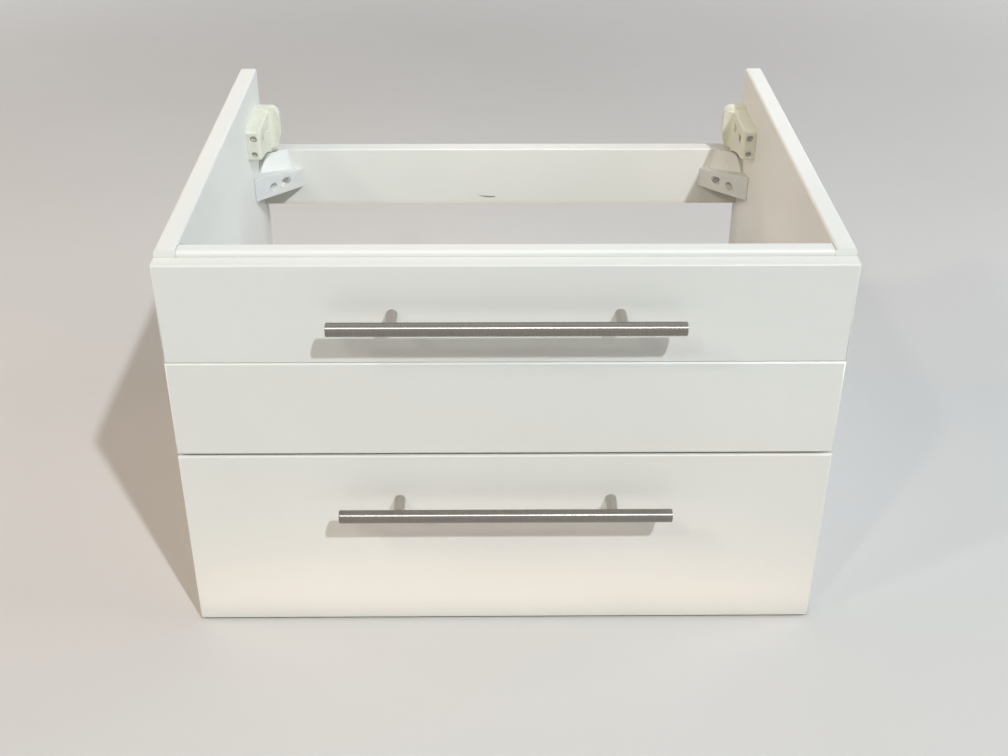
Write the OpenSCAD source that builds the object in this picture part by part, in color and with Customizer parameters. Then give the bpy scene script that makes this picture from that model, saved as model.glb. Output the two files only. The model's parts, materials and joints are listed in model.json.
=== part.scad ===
// Wall-hung vanity base with two full-extension drawers, open at the top for a basin.
// Origin: middle of the wall plane at the underside. +X right, -Y to the front, +Z up.

/* [Carcass] */
// Width across the side panels
cab_w = 585; // [480:1:900]
// Depth of the side panels
cab_d = 464; // [450:1:560]
// Thickness of the side panels
side_t = 18; // [15:1:22]
// Radius on the top edges of the side panels
side_edge_r = 3; // [0.5:0.5:4]
// Height of the side panels above the top of the fronts
side_rise = 6.5; // [3:0.5:12]
// Thickness of the bottom panel
bottom_t = 16; // [12:1:20]
// Thickness of the front rail
front_rail_t = 16; // [12:1:20]
// Height of the front rail
front_rail_h = 80; // [50:1:110]
// Drop of the front rail below the top of the side panels
front_rail_drop = 1.5; // [0:0.5:5]
// Thickness of the back rail
back_rail_t = 18; // [15:1:20]
// Height of the back rail
back_rail_h = 67; // [50:1:72]
// Drop of the back rail below the top of the side panels
back_rail_drop = 89; // [89:1:96]
// Radius on the top edges of the front rail
front_rail_edge_r = 3; // [0.5:0.5:4]
// Radius on the top edges of the back rail
back_rail_edge_r = 1.5; // [0.5:0.5:3]

/* [Drawer fronts] */
// Thickness of the drawer fronts
front_t = 16; // [14:1:19]
// Height of the upper front
upper_front_h = 186.5; // [170:0.5:230]
// Height of the lower front
lower_front_h = 188; // [176:0.5:240]
// Gap between the two fronts
front_gap = 3; // [2:0.5:5]
// Height of the lower front above the underside of the carcass
base_reveal = 2; // [0:0.5:6]
// Radius on the outer edges of the fronts
front_edge_r = 1.5; // [0.5:0.5:2]
// Drop of the groove below the top of the upper front
groove_drop = 93; // [70:1:120]
// Width of the groove
groove_w = 3; // [2:0.5:6]
// Depth of the groove
groove_depth = 1.5; // [1:0.5:5]
// Thickness of the bumper pads behind the fronts
bumper_t = 0.5; // [0.5:0.5:2.5]
// Diameter of the bumper pads
bumper_d = 8; // [6:1:12]
// Inset of the bumper pads from a front's top and bottom edges
bumper_inset = 20; // [12:1:40]

/* [Handles] */
// Length of the handle bar
handle_l = 298; // [230:1:400]
// Diameter of the handle bar
handle_bar_d = 12; // [10:0.5:14]
// Diameter of the handle posts
handle_post_d = 10; // [8:0.5:12]
// Distance between the handle's two screw holes
handle_spacing = 192; // [128:32:224]
// Projection of the handle in front of the drawer front
handle_projection = 32; // [30:1:40]
// Drop of the upper handle below the top of its front
upper_handle_drop = 45.5; // [30:0.5:70]
// Drop of the lower handle below the top of its front
lower_handle_drop = 47.5; // [30:0.5:90]
// Chamfer at the ends of the bar
handle_chamfer = 0.6; // [0.2:0.1:1.5]
// Diameter of the spigot that joins a post to the bar
spigot_d = 5; // [4:0.5:6]
// Diameter of the handle screws
handle_screw_d = 4; // [3:0.5:4.5]
// Reach of a handle screw into its post
handle_screw_reach = 9; // [6:1:12]
// Diameter of the handle screw heads
handle_head_d = 8; // [7:0.5:9]
// Height of the handle screw heads
handle_head_h = 2.5; // [2:0.5:3.5]

/* [Drawer boxes] */
// Thickness of the drawer box boards
box_t = 12; // [11:1:16]
// Height of the upper drawer box
upper_box_h = 50; // [48:1:56]
// Depth of the upper drawer box
upper_box_d = 280; // [265:1:320]
// Height of the upper box above the lower edge of its front
upper_box_lift = 10; // [4:1:16]
// Height of the lower drawer box
lower_box_h = 150; // [110:1:152]
// Depth of the lower drawer box
lower_box_d = 420; // [410:1:440]
// Height of the lower box above the lower edge of its front
lower_box_lift = 28; // [24:1:32]
// Thickness of the drawer bases
base_t = 5; // [3:0.5:8]
// Height of the base's underside above the lower edge of the box
base_rise = 10; // [8:1:15]
// Depth of the groove that holds the base
base_groove = 6; // [4:0.5:8]
// Clear width of the cut-out for the waste trap
trap_w = 150; // [110:1:220]
// Clear depth of the cut-out, from the back of the box
trap_d = 130; // [80:1:180]
// Inner corner radius of the cut-out
trap_r = 20; // [5:1:40]
// Wall thickness of the trap shield
shield_t = 3; // [2:0.5:4]
// Width of the shield's flange on the drawer base
shield_flange = 8; // [5:1:15]

/* [Slides] */
// Height of the slides
slide_h = 45; // [42:0.5:46]
// Thickness of the slides
slide_t = 12.7; // [12.5:0.1:14]
// Length and travel of the upper slides
upper_slide_l = 250; // [200:10:250]
// Length and travel of the lower slides
lower_slide_l = 400; // [350:10:400]
// Sheet thickness of the slide members
slide_gauge = 1.2; // [1:0.1:1.5]
// Diameter of the bearing balls
ball_d = 3; // [2.5:0.1:3.4]
// Spacing of the bearing balls in a cage
ball_pitch = 24; // [12:1:40]
// Set-back of the slides from the front edge of the side panels
slide_setback = 2; // [1:0.5:6]
// Distance of the first slide screw from the front end of the slide
slide_first_hole = 37; // [20:1:50]
// Height of the upper slide's centre above the lower edge of its box
upper_slide_rise = 25; // [24:0.5:27]
// Height of the lower slide's centre above the lower edge of its box
lower_slide_rise = 60; // [35:1:80]

/* [Screws and dowels] */
// Diameter of the panel screws
screw_d = 3.5; // [3:0.1:4]
// Diameter of the panel screw heads
screw_head_d = 7; // [6:0.5:8]
// Height of the panel screw heads
screw_head_h = 2; // [1.5:0.1:2.2]
// Length of the panel screws under the head
panel_screw_l = 13; // [10:1:14]
// Length of the runner screws under the head
runner_screw_l = 10; // [8:0.5:11]
// Length of the screws that hold a front to its box
front_screw_l = 22; // [18:1:24]
// Diameter of the wood dowels
dowel_d = 8; // [6:1:10]
// Length of the wood dowels
dowel_l = 30; // [24:1:40]
// Reach of a dowel into the side panel
dowel_bite = 12; // [8:1:13]

/* [Hangers] */
// Width of the hanger's body, from the side panel inwards
hanger_w = 14.5; // [14.5:0.5:18]
// Length of the hanger's body, from its front face to its back plate
hanger_l = 69; // [66:1:80]
// Height of the hanger's front face
hanger_front_h = 31.5; // [30.5:0.5:36]
// Width of the hanger's back plate
plate_w = 25; // [22:0.5:34]
// Height of the hanger's back plate
plate_h = 51.5; // [46:0.5:52]
// Thickness of the hanger's back plate
plate_t = 12; // [8:0.5:16]
// Corner radius of the back plate
plate_r = 9.5; // [4:0.5:11]
// Narrowing of the back plate near its foot
plate_narrow = 2.8; // [0:0.1:4]
// Drop of the back plate below the top of the side panels
plate_drop = 35; // [25:0.5:36]
// Drop of the body's top below the top of the back plate
hanger_step = 1.5; // [0.5:0.5:4]
// Radius on the upper edges of the body
hanger_edge_r = 3; // [0.5:0.5:3]
// Wall thickness of the hanger housing
hanger_wall = 2.2; // [1.8:0.1:2.4]
// Distance of the adjusting screws from the side panel
adjust_in = 7.3; // [7:0.1:8]
// Drop of the height screw below the top of the body
height_screw_drop = 8.5; // [7:0.5:10]
// Distance between the height screw and the depth screw
adjust_spacing = 17.5; // [16:0.5:18]
// Diameter of the height screw's head
adjust_head_d = 6.5; // [5.5:0.5:7]
// Diameter of the depth screw's head
depth_head_d = 5.2; // [5:0.1:6]
// Diameter of the adjusting screw shanks
adjust_d = 4; // [3:0.1:4.1]
// Thickness of the steel hook
hook_t = 2; // [1.5:0.1:2.1]
// Diameter of the pegs that hold the housing to the side panel
peg_d = 10; // [8:0.5:12]
// Length of the pegs
peg_l = 11; // [8:0.5:13]

/* [Corner blocks] */
// Length of the corner block along the back rail
block_leg = 45; // [42:0.5:55]
// Length of the corner block along the side panel
block_side_leg = 63; // [58:0.5:70]
// Height of the corner block's body at the back rail
block_h = 21.5; // [20:0.5:30]
// Drop of the underside of the block below the top of the side panels
block_drop = 133.5; // [130:0.5:136]
// Rise of the block's underside along the side panel
block_foot_rise = 8; // [0:0.5:9]
// Rise of the block's top along the side panel
block_top_rise = 14; // [0:0.5:16]
// Width of the blunt ends of the block
block_end = 1.5; // [1:0.5:4]
// Wall thickness of the block
block_wall = 2.5; // [2:0.1:3]
// Reach of the block's upstand along the back rail at its foot
stand_w = 36; // [33:0.5:40]
// Reach of the upstand along the back rail at its top
stand_top_w = 29.5; // [20:0.5:31]
// Reach of the upstand in front of the back rail at its foot
stand_t = 36.5; // [26:0.5:40]
// Reach of the upstand in front of the back rail at its top
stand_top_t = 13.5; // [8:0.5:18]
// Distance of the upstand's top from the side panel
stand_top_in = 7; // [2:0.5:12]
// Distance of the block's rail screw from the side panel
block_screw_in = 29; // [26:0.5:31]
// Distance of the block's side screw from the back rail
block_side_screw_in = 40.5; // [36:0.5:44]
// Length of the block's rail screw under its head
block_screw_l = 28; // [24:1:30]
// Diameter of the recess over a block screw
block_recess_d = 9.5; // [8:0.5:11]

/* [Hidden] */
$fn = 48;

left = -1;
right = 1;
eps = 0.01;             // overshoot of a cut past the face that it opens
play = 0.1;             // radial clearance round screws, dowels and pegs
slip = 0.3;             // clearance between faces that slide past each other

// Heights and depths of the main planes
lower_front_z = base_reveal;
upper_front_z = lower_front_z + lower_front_h + front_gap;
front_top = upper_front_z + upper_front_h;
cab_h = front_top + side_rise;
carcass_front = -cab_d;
front_back = carcass_front - bumper_t;
front_face = front_back - front_t;
side_in = cab_w / 2 - side_t;
back_rail_front = -back_rail_t;
front_rail_top = cab_h - front_rail_drop;
back_rail_top = cab_h - back_rail_drop;

// Drawer boxes: [lower edge, height, depth, slide length, centre height of the slide]
box_out = side_in - slide_t;
box_in = box_out - box_t;
upper_box_z = upper_front_z + upper_box_lift;
lower_box_z = lower_front_z + lower_box_lift;
upper = [upper_box_z, upper_box_h, upper_box_d, upper_slide_l, upper_box_z + upper_slide_rise];
lower = [lower_box_z, lower_box_h, lower_box_d, lower_slide_l, lower_box_z + lower_slide_rise];
function box_z(b) = b[0];
function box_h(b) = b[1];
function box_back(b) = front_back + b[2];
function slide_len(b) = b[3];
function slide_z(b) = b[4];

// Slide section, measured inwards from the side panel
slide_front = carcass_front + slide_setback;
slide_screws = 3;
ball_gap = ball_d + 2 * play + 0.2;
mid_web = slide_gauge + screw_head_h + slip;
mid_half = slide_h / 2 - slide_gauge - ball_gap;
runner_half = mid_half - slide_gauge - ball_gap;
rail_reach = slide_t - 2.5;
mid_reach = slide_t - 1.5;
runner_reach = slide_t - 6.5;
cage_w = 4;
cage_t = 0.8;
cage_end = 10;

// Dowels: [y, z] of each dowel in one side panel
dowel_rows = 3;
dowel_edge = 60;
bottom_dowels = [for (i = [0:dowel_rows - 1])
  [-dowel_edge - i * (cab_d - 2 * dowel_edge) / (dowel_rows - 1), bottom_t / 2]];
front_rail_dowels = [for (k = [1, 3])
  [carcass_front + front_rail_t / 2, front_rail_top - front_rail_h * k / 4]];
back_rail_dowels = [for (k = [1, 3])
  [-back_rail_t / 2, back_rail_top - back_rail_h * k / 4]];

// Hanger: heights and depths
plate_back = back_rail_front - 1;
plate_front = plate_back - plate_t;
hanger_front = plate_front - hanger_l;
plate_top = cab_h - plate_drop;
hanger_top = plate_top - hanger_step;
plate_bottom = plate_top - plate_h;
hanger_foot = hanger_top - hanger_front_h;
hanger_chamfer = 2.2;
hanger_fillet = 8;
hanger_front_wall = 12;
height_screw_z = hanger_top - height_screw_drop;
depth_screw_z = height_screw_z - adjust_spacing;
adjust_recess = 2.5;
adjust_head_h = 3.5;
adjust_end = plate_front - 11;
cavity_u0 = 2;
cavity_u1 = hanger_w - hanger_wall;
hook_u = cavity_u1 - slip - hook_t;
carriage_u1 = hook_u - slip;
carriage_y0 = hanger_front + 2 * hanger_front_wall;
carriage_l = 28;
carriage_foot = depth_screw_z - 5.4;
key_inset = 12;
key_y = carriage_y0 + key_inset;
key_w = 4;
key_h = 4;
hook_travel = 5;
hook_mid = (height_screw_z + depth_screw_z) / 2 + 0.2;
hook_half = 9.5;
hook_arm = 6;
hook_tip_y = -8;
hook_tip_t = 4;
hook_tip_drop = 18;
peg_inset = 14;
peg_spots = [for (y = [hanger_front + peg_inset, plate_front - peg_inset])
  [y, (hanger_top + hanger_foot) / 2]];
slot_drop = 19.5;
slot_h = 8.5;
slot_w = 12;
slot_first = 13;
slot_pitch = 30;

// Corner block
block_foot = cab_h - block_drop;
block_top = block_foot + block_h;
stand_top = back_rail_top + 0.5;
block_screw_z = block_foot + (block_h + block_foot_rise) / 2 + 0.75;
block_seat = 3;
block_rail_seat = 16.5;
web_setback = 2.5;

// Handles
handle_bar_y = front_face - handle_projection + handle_bar_d / 2;
upper_handle_z = front_top - upper_handle_drop;
lower_handle_z = lower_front_z + lower_front_h - lower_handle_drop;
counterbore = handle_head_h + 0.5;

// Screws from the box front into the drawer front: [x, z]
front_screw_in = 60;
front_screw_edge = 7;
function front_screw_spots(b) = [for (s = [left, right], k = [0, 1])
  [s * (box_in - front_screw_in), box_z(b) + base_rise + base_t + front_screw_edge +
    k * (box_h(b) - base_rise - base_t - 2 * front_screw_edge)]];

// ---------------------------------------------------------------- helpers

// A rectangle with its two upper corners rounded
module arched(w, h, r) {
  square([w, h - r]);
  translate([r, 0]) square([w - 2 * r, h]);
  for (x = [r, w - r]) translate([x, h - r]) circle(r);
}

// Extrudes a [y, z] outline along x, starting at x = 0
module along_x(len) rotate([90, 0, 90]) linear_extrude(len) children();

// Extrudes an [x, z] outline along y, starting at y = 0
module along_y(len) translate([0, len, 0]) rotate([90, 0, 0]) linear_extrude(len) children();

// A rod along y from y0 to y1
module rod_y(d, y0, y1) translate([0, y1, 0]) rotate([90, 0, 0]) cylinder(d = d, h = y1 - y0);

// A rod along x from x0 to x1
module rod_x(d, x0, x1) translate([x0, 0, 0]) rotate([0, 90, 0]) cylinder(d = d, h = x1 - x0);

// Puts a piece drawn inwards from x = 0 against the inner face of one side panel
module at_side(s) {
  if (s < 0) translate([-side_in, 0, 0]) children();
  else translate([side_in, 0, 0]) mirror([1, 0, 0]) children();
}

// A pan-head screw along +z, its head under z = 0 seated at z = 0
module pan_screw(len) {
  difference() {
    union() {
      cylinder(d = screw_d, h = len);
      translate([0, 0, -screw_head_h]) cylinder(d1 = screw_head_d - 1.4, d2 = screw_head_d,
        h = 0.7);
      translate([0, 0, 0.7 - screw_head_h]) cylinder(d = screw_head_d, h = screw_head_h - 0.7);
    }
    for (a = [0, 90]) rotate(a)
      translate([-2, -0.45, -screw_head_h - eps]) cube([4, 0.9, 1.1]);
  }
}

// Positions of the screws along a slide
function slide_screw_y(b) = [for (i = [0:slide_screws - 1])
  slide_front + slide_first_hole +
  i * (slide_len(b) - 2 * slide_first_hole) / (slide_screws - 1)];

// ---------------------------------------------------------------- carcass

module side_panel(s) {
  color("white") difference() {
    at_side(s) translate([-side_t, carcass_front, 0]) along_y(cab_d)
      arched(side_t, cab_h, side_edge_r);
    at_side(s) {
      for (p = concat(bottom_dowels, front_rail_dowels, back_rail_dowels))
        translate([0, p[0], p[1]]) rod_x(dowel_d + 2 * play, -dowel_bite - play, eps);
      for (b = [upper, lower], y = slide_screw_y(b)) translate([0, y, slide_z(b)])
        rod_x(screw_d + 2 * play, slide_gauge - panel_screw_l - play, eps);
      for (p = peg_spots) translate([0, p[0], p[1]]) rod_x(peg_d + 2 * play, -peg_l - play, eps);
      translate([0, back_rail_front - block_side_screw_in, block_screw_z])
        rod_x(screw_d + 2 * play, block_seat - panel_screw_l - play, eps);
    }
  }
}

module dowel_holes(spots, reach) {
  for (s = [left, right]) at_side(s) for (p = spots)
    translate([0, p[0], p[1]]) rod_x(dowel_d + 2 * play, -eps, reach + play);
}

module front_rail() {
  color("white") difference() {
    translate([-side_in, carcass_front, front_rail_top - front_rail_h]) along_x(2 * side_in)
      arched(front_rail_t, front_rail_h, front_rail_edge_r);
    dowel_holes(front_rail_dowels, dowel_l - dowel_bite);
  }
}

module back_rail() {
  color("white") difference() {
    translate([-side_in, back_rail_front, back_rail_top - back_rail_h]) along_x(2 * side_in)
      arched(back_rail_t, back_rail_h, back_rail_edge_r);
    dowel_holes(back_rail_dowels, dowel_l - dowel_bite);
    for (s = [left, right]) at_side(s) translate([block_screw_in, 0, block_screw_z])
      rod_y(screw_d + 2 * play, back_rail_front - eps,
        back_rail_front + block_screw_l - block_rail_seat + play);
  }
}

module bottom_panel() {
  color("white") difference() {
    translate([-side_in, carcass_front, 0]) cube([2 * side_in, cab_d, bottom_t]);
    dowel_holes(bottom_dowels, dowel_l - dowel_bite);
  }
}

module wood_dowels() {
  color("burlywood") for (s = [left, right]) at_side(s)
    for (p = concat(bottom_dowels, front_rail_dowels, back_rail_dowels))
      translate([0, p[0], p[1]]) rod_x(dowel_d, -dowel_bite, dowel_l - dowel_bite);
}

module front_bumpers() {
  color("gainsboro") for (s = [left, right],
    z = [lower_front_z + bumper_inset, lower_front_z + lower_front_h - bumper_inset,
      upper_front_z + bumper_inset, front_top - bumper_inset])
    translate([s * (side_in + side_t / 2), 0, z]) rod_y(bumper_d, front_back, carcass_front);
}

// ---------------------------------------------------------------- corner blocks

// Plan of the corner block with its corner at the origin
module block_plan() polygon([[0, 0], [block_leg, 0], [block_leg, -block_end],
  [block_end, -block_side_leg], [0, -block_side_leg]]);

// Plan of the hollow inside it: a triangle, a wall's width inside each face
module block_hollow_plan() {
  w = block_wall;
  a = block_leg - block_end;
  b = block_side_leg - block_end;
  reach = b * block_leg + a * block_end - w * sqrt(a * a + b * b);
  polygon([[w, -w], [(reach - a * w) / b, -w], [w, -(reach - b * w) / a]]);
}

// Sloping layer of the block, its foot lifted and its top lowered by the given heights
module block_layer(lift, drop) {
  y0 = back_rail_front - block_side_leg;
  along_x(block_leg) polygon([[y0, block_foot + block_foot_rise + lift],
    [back_rail_front, block_foot + lift], [back_rail_front, block_top - drop],
    [y0, block_top + block_top_rise - drop]]);
}

module block_body() intersection() {
  translate([0, back_rail_front, block_foot]) linear_extrude(block_h + block_top_rise)
    block_plan();
  block_layer(0, 0);
}

// The wedge that stands on the block against the back rail, narrower towards its top
module block_upstand() {
  translate([0, back_rail_front, 0]) hull() {
    translate([0, 0, block_top - 2 * eps]) linear_extrude(eps)
      polygon([[eps, 0], [stand_w, 0], [stand_w, -0.5], [1.5, -stand_t], [eps, -stand_t]]);
    translate([0, 0, stand_top - eps]) linear_extrude(eps)
      polygon([[stand_top_in, 0], [stand_top_w, 0], [stand_top_w, -0.5],
        [stand_top_in + 1.5, -stand_top_t], [stand_top_in, -stand_top_t]]);
  }
}

// The web that joins the wedge to the side panel, set back behind the wedge's face
module block_web() {
  along_x(stand_top_in + 1.5) polygon([[back_rail_front, block_top - 1],
    [back_rail_front - stand_t + web_setback, block_top - 1],
    [back_rail_front - stand_top_t + web_setback, stand_top], [back_rail_front, stand_top]]);
}

module corner_block(s) {
  y0 = back_rail_front - block_side_leg;
  color("whitesmoke") at_side(s) difference() {
    union() {
      difference() {
        block_body();
        intersection() {
          translate([0, back_rail_front, block_foot - 1])
            linear_extrude(block_h + block_top_rise) block_hollow_plan();
          block_layer(-1, block_wall);
        }
      }
      intersection() {
        block_body();
        union() {
          translate([block_screw_in, 0, block_screw_z])
            rod_y(block_recess_d + 2 * block_wall, y0, back_rail_front);
          translate([0, back_rail_front - block_side_screw_in, block_screw_z])
            rod_x(block_recess_d + 2 * block_wall, 0, block_leg);
        }
      }
      block_upstand();
      block_web();
    }
    translate([block_screw_in, 0, block_screw_z]) {
      rod_y(block_recess_d, y0, back_rail_front - block_rail_seat);
      rod_y(screw_d + 2 * play, y0, back_rail_front + eps);
    }
    translate([0, back_rail_front - block_side_screw_in, block_screw_z]) {
      rod_x(block_recess_d, block_seat, block_leg);
      rod_x(screw_d + 2 * play, -eps, block_leg);
    }
  }
}

// Screws of the cabinet rails of the slides and of the corner blocks
module panel_screws() {
  color("silver") for (s = [left, right]) at_side(s) {
    for (b = [upper, lower], y = slide_screw_y(b))
      translate([slide_gauge, y, slide_z(b)]) rotate([0, -90, 0]) pan_screw(panel_screw_l);
    translate([block_seat, back_rail_front - block_side_screw_in, block_screw_z])
      rotate([0, -90, 0]) pan_screw(panel_screw_l);
    translate([block_screw_in, back_rail_front - block_rail_seat, block_screw_z])
      rotate([-90, 0, 0]) pan_screw(block_screw_l);
  }
}

// ---------------------------------------------------------------- hangers

// Side outline of the hanger's body with its hollow underside, shrunk by a wall when asked
module hanger_outline(inset) {
  under = hanger_foot - plate_bottom;
  polygon([[hanger_front, hanger_foot + inset],
    [hanger_front + hanger_l * 0.38, hanger_foot - under * 0.19 + inset],
    [hanger_front + hanger_l * 0.72, hanger_foot - under * 0.54 + inset],
    [plate_front, plate_bottom + inset],
    [plate_back + eps, plate_bottom + inset], [plate_back + eps, hanger_top - inset],
    [hanger_front, hanger_top - inset]]);
}

// Front end of the side outline, its upper corner rounded
module hanger_nose() {
  r = hanger_edge_r;
  translate([hanger_front, 0]) square([hanger_l + eps, hanger_top - r]);
  translate([hanger_front + r, 0]) square([hanger_l - r + eps, plate_top]);
  translate([hanger_front + r, hanger_top - r]) circle(r);
}

module hanger_body() {
  intersection() {
    along_x(hanger_w) intersection() {
      hanger_outline(0);
      hanger_nose();
    }
    translate([0, 0, plate_bottom]) linear_extrude(plate_h)
      polygon([[0, hanger_front], [hanger_w - hanger_chamfer, hanger_front],
        [hanger_w, hanger_front + hanger_chamfer], [hanger_w, plate_front + eps],
        [0, plate_front + eps]]);
    translate([0, hanger_front - 1, 0]) along_y(hanger_l + 2) union() {
      square([hanger_w, hanger_top - hanger_edge_r]);
      square([hanger_w - hanger_edge_r, hanger_top]);
      translate([hanger_w - hanger_edge_r, hanger_top - hanger_edge_r]) circle(hanger_edge_r);
    }
  }
}

module hanger_plate() {
  narrow_w = plate_w - plate_narrow;
  translate([0, plate_front, 0]) along_y(plate_t) {
    translate([0, plate_bottom + plate_h * 0.35]) {
      square([plate_w - plate_r, plate_h * 0.65]);
      square([plate_w, plate_h * 0.65 - plate_r]);
      translate([plate_w - plate_r, plate_h * 0.65 - plate_r]) circle(plate_r);
    }
    translate([0, plate_bottom]) polygon([[0, 0], [8, 0], [narrow_w, 4.5],
      [narrow_w, plate_h * 0.18], [plate_w, plate_h * 0.35 + eps], [0, plate_h * 0.35 + eps]]);
  }
}

module hanger_web_fillet() {
  translate([hanger_w, plate_front, plate_bottom + 6]) difference() {
    translate([-eps, -hanger_fillet, 0])
      cube([hanger_fillet, hanger_fillet + eps, hanger_top - hanger_edge_r - plate_bottom - 6]);
    translate([hanger_fillet, -hanger_fillet, -eps])
      cylinder(r = hanger_fillet, h = plate_h);
  }
}

module hanger_housing(s) {
  color("#e6e2cd") at_side(s) difference() {
    union() {
      hanger_body();
      hanger_plate();
      intersection() {
        hanger_web_fillet();
        translate([0, plate_front - hanger_fillet, 0]) cube([plate_w, hanger_fillet + eps, cab_h]);
        along_x(plate_w) hanger_outline(0);
      }
      for (p = peg_spots) translate([0, p[0], p[1]]) rod_x(peg_d, -peg_l, eps);
    }
    intersection() {
      translate([cavity_u0, 0, 0]) along_x(cavity_u1 - cavity_u0) hanger_outline(hanger_wall);
      translate([0, hanger_front + hanger_front_wall, 0])
        cube([hanger_w, hanger_l + plate_t + eps, cab_h]);
    }
    for (k = [[height_screw_z, adjust_head_d], [depth_screw_z, depth_head_d]])
      translate([adjust_in, 0, k[0]]) {
      rod_y(k[1] + 1, hanger_front - eps, hanger_front + adjust_recess + adjust_head_h + slip);
      rod_y(adjust_d + 2 * play, hanger_front, hanger_front + hanger_front_wall + eps);
    }
    for (i = [0, 1])
      translate([cavity_u1 - eps, hanger_front + slot_first + i * slot_pitch,
        hanger_top - slot_drop]) cube([hanger_wall + 2 * eps, slot_w, slot_h]);
  }
}

// A cross-head adjusting screw; it turns in the housing's front wall
module adjusting_screw(s, z, head_d) {
  head = hanger_front + adjust_recess;
  color("silver") at_side(s) translate([adjust_in, 0, z]) difference() {
    union() {
      rod_y(head_d, head, head + adjust_head_h);
      rod_y(adjust_d, head, adjust_end);
    }
    for (a = [0, 90]) rotate([0, a, 0])
      translate([-2.2, head - eps, -0.55]) cube([4.4, 1.6, 1.1]);
  }
}

module hanger_carriage(s) {
  color("darkgray") at_side(s) difference() {
    union() {
      translate([cavity_u0 + slip, carriage_y0, carriage_foot])
        cube([carriage_u1 - cavity_u0 - slip, carriage_l,
          hanger_top - hanger_wall - slip - carriage_foot]);
      translate([carriage_u1 - eps, key_y, hook_mid - key_h / 2])
        cube([hook_u + hook_t - carriage_u1, key_w, key_h]);
    }
    for (z = [height_screw_z, depth_screw_z])
      translate([adjust_in, 0, z])
        rod_y(adjust_d + 2 * play, carriage_y0 - eps, carriage_y0 + carriage_l + eps);
  }
}

module hanger_hook(s) {
  color("lightgray") at_side(s) translate([hook_u, 0, 0]) difference() {
    union() {
      translate([0, carriage_y0 + 2, hook_mid - hook_half])
        cube([hook_t, carriage_l, 2 * hook_half]);
      translate([0, carriage_y0 + 2, hook_mid - hook_arm])
        cube([hook_t, hook_tip_y + hook_tip_t - carriage_y0 - 2, 2 * hook_arm]);
      translate([cavity_u0 + 1 - hook_u, hook_tip_y, hook_mid + hook_arm - hook_tip_drop])
        cube([hook_u + hook_t - cavity_u0 - 1, hook_tip_t, hook_tip_drop]);
    }
    translate([-eps, key_y - slip, hook_mid - key_h / 2 - hook_travel - slip])
      cube([hook_t + 2 * eps, key_w + 2 * slip, key_h + 2 * (hook_travel + slip)]);
  }
}

// ---------------------------------------------------------------- slides

// C-shaped section with its web at x = 0 and its flanges reaching along +x
module channel(reach, half) {
  difference() {
    translate([0, -half]) square([reach, 2 * half]);
    translate([slide_gauge, slide_gauge - half]) square([reach, 2 * (half - slide_gauge)]);
  }
}

module slide_rail(s, b) {
  color("lightsteelblue") at_side(s) difference() {
    translate([0, slide_front, slide_z(b)]) along_y(slide_len(b)) channel(rail_reach, slide_h / 2);
    for (y = slide_screw_y(b)) translate([0, y, slide_z(b)])
      rod_x(screw_d + 2 * play, -eps, slide_gauge + eps);
  }
}

module slide_middle(s, b) {
  color("silver") at_side(s) translate([mid_web, slide_front, slide_z(b)])
    along_y(slide_len(b)) channel(mid_reach - mid_web, mid_half);
}

module slide_runner(s, b) {
  color("lightsteelblue") at_side(s) difference() {
    translate([slide_t, slide_front, slide_z(b)]) along_y(slide_len(b)) mirror([1, 0])
      channel(slide_t - runner_reach, runner_half);
    for (y = slide_screw_y(b)) translate([0, y, slide_z(b)])
      rod_x(screw_d + 2 * play, slide_t - slide_gauge - eps, slide_t + eps);
  }
}

// Two strips of bearing balls, above and below one member of a slide, on both sides
module ball_cages(b, half, inner_x) {
  len = slide_len(b) / 2 - cage_end;
  y0 = slide_front + (slide_len(b) - len) / 2;
  balls = floor((len - cage_end) / ball_pitch);
  color("gold") for (s = [left, right], v = [-1, 1]) at_side(s)
    translate([inner_x, y0, slide_z(b) + v * (half + ball_gap / 2)]) {
      translate([-cage_w / 2, 0, -cage_t / 2]) cube([cage_w, len, cage_t]);
      for (i = [0:balls])
        translate([0, len / 2 + (i - balls / 2) * ball_pitch, 0]) sphere(d = ball_d);
    }
}

module runner_screws(b) {
  color("silver") for (s = [left, right]) at_side(s) for (y = slide_screw_y(b))
    translate([slide_t - slide_gauge, y, slide_z(b)]) rotate([0, 90, 0])
      pan_screw(runner_screw_l);
}

// ---------------------------------------------------------------- drawer fronts and handles

// A drawer front with its outer edges eased, its lower edge at z0, drilled for handle and box
module drawer_front(z0, h, handle_z, b, groove) {
  r = front_edge_r;
  color("white") difference() {
    intersection() {
      translate([-cab_w / 2, 0, 0]) along_x(cab_w) difference() {
        translate([front_face, z0]) rotate(90) mirror([0, 1]) front_section(h, r);
        if (groove) polygon([[front_face - eps, front_top - groove_drop - groove_w / 2],
          [front_face + groove_depth, front_top - groove_drop],
          [front_face - eps, front_top - groove_drop + groove_w / 2]]);
      }
      translate([-cab_w / 2, front_face, z0]) linear_extrude(h) front_section(cab_w, r);
    }
    for (s = [left, right]) translate([s * handle_spacing / 2, 0, handle_z]) {
      rod_y(handle_screw_d + 2 * play, front_face - eps, front_back + eps);
      rod_y(handle_head_d + 2 * play, front_back - counterbore, front_back + eps);
    }
    for (p = front_screw_spots(b)) translate([p[0], 0, p[1]])
      rod_y(screw_d + 2 * play, front_back - front_screw_l + box_t - play, front_back + eps);
  }
}

// Section of a front: w wide along x, front_t deep along y, its two outer edges at y = 0 eased
module front_section(w, r) {
  translate([0, r]) square([w, front_t - r]);
  translate([r, 0]) square([w - 2 * r, front_t]);
  for (x = [r, w - r]) translate([x, r]) circle(r);
}

module upper_front() drawer_front(upper_front_z, upper_front_h, upper_handle_z, upper, true);

module lower_front() drawer_front(lower_front_z, lower_front_h, lower_handle_z, lower, false);

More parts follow.
